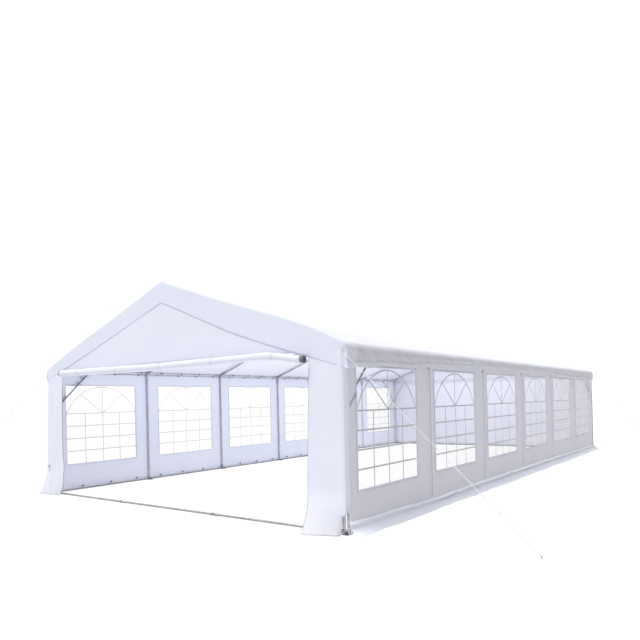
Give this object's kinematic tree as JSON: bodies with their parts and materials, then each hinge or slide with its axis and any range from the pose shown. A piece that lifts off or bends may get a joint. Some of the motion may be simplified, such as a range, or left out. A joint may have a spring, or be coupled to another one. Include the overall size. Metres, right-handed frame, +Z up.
{
  "type": "marquee tent",
  "caption": "White party marquee with a pitched roof, arched clear windows, an open front gable with its door rolled up, a steel tube frame and guy ropes",
  "frame": {"origin": "on the ground at the middle of the footprint", "axes": "+Z up; the open front gable faces -Y and the ridge runs along Y; +X is the tent's right side seen from the front"},
  "size_m": [9.914, 13.974, 3.125],
  "materials": {
    "white_sheeting": "white coated polyethylene sheeting, faint weave",
    "clear_film": "clear plastic window film with printed bars",
    "galvanised_steel": "galvanised steel tube, dull grey",
    "white_rope": "thin braided rope",
    "black_rubber": "black rubber balls and elastic loops",
    "window_print": "light grey bars on the clear film"
  },
  "bodies": {
    "root": {"back_cross_beam": "galvanised_steel", "back_gable": "white_sheeting", "back_ground_bar": "galvanised_steel", "back_left_brace": "galvanised_steel", "back_left_guy": "white_rope", "back_right_brace": "galvanised_steel", "back_right_guy": "white_rope", "back_skirt": "white_sheeting", "back_wall": "white_sheeting", "front_cross_beam": "galvanised_steel", "front_gable": "white_sheeting", "front_ground_bar": "galvanised_steel", "front_left_brace": "galvanised_steel", "front_left_guy": "white_rope", "front_left_leg_panel": "white_sheeting", "front_right_brace": "galvanised_steel", "front_right_guy": "white_rope", "front_right_leg_panel": "white_sheeting", "left_eave_rail": "galvanised_steel", "left_ground_rail": "galvanised_steel", "left_post_1": "galvanised_steel", "left_post_2": "galvanised_steel", "left_post_3": "galvanised_steel", "left_post_4": "galvanised_steel", "left_post_5": "galvanised_steel", "left_post_6": "galvanised_steel", "left_post_7": "galvanised_steel", "left_skirt": "white_sheeting", "left_wall": "white_sheeting", "left_windows": "clear_film", "rafter_pair_1": "galvanised_steel", "rafter_pair_2": "galvanised_steel", "rafter_pair_3": "galvanised_steel", "rafter_pair_4": "galvanised_steel", "rafter_pair_5": "galvanised_steel", "rafter_pair_6": "galvanised_steel", "rafter_pair_7": "galvanised_steel", "ridge_pole": "galvanised_steel", "right_eave_rail": "galvanised_steel", "right_ground_rail": "galvanised_steel", "right_post_1": "galvanised_steel", "right_post_2": "galvanised_steel", "right_post_3": "galvanised_steel", "right_post_4": "galvanised_steel", "right_post_5": "galvanised_steel", "right_post_6": "galvanised_steel", "right_post_7": "galvanised_steel", "right_skirt": "white_sheeting", "right_wall": "white_sheeting", "right_windows": "clear_film", "rolled_door": "white_sheeting", "roof_cover": "white_sheeting"}
  },
  "joints": []
}
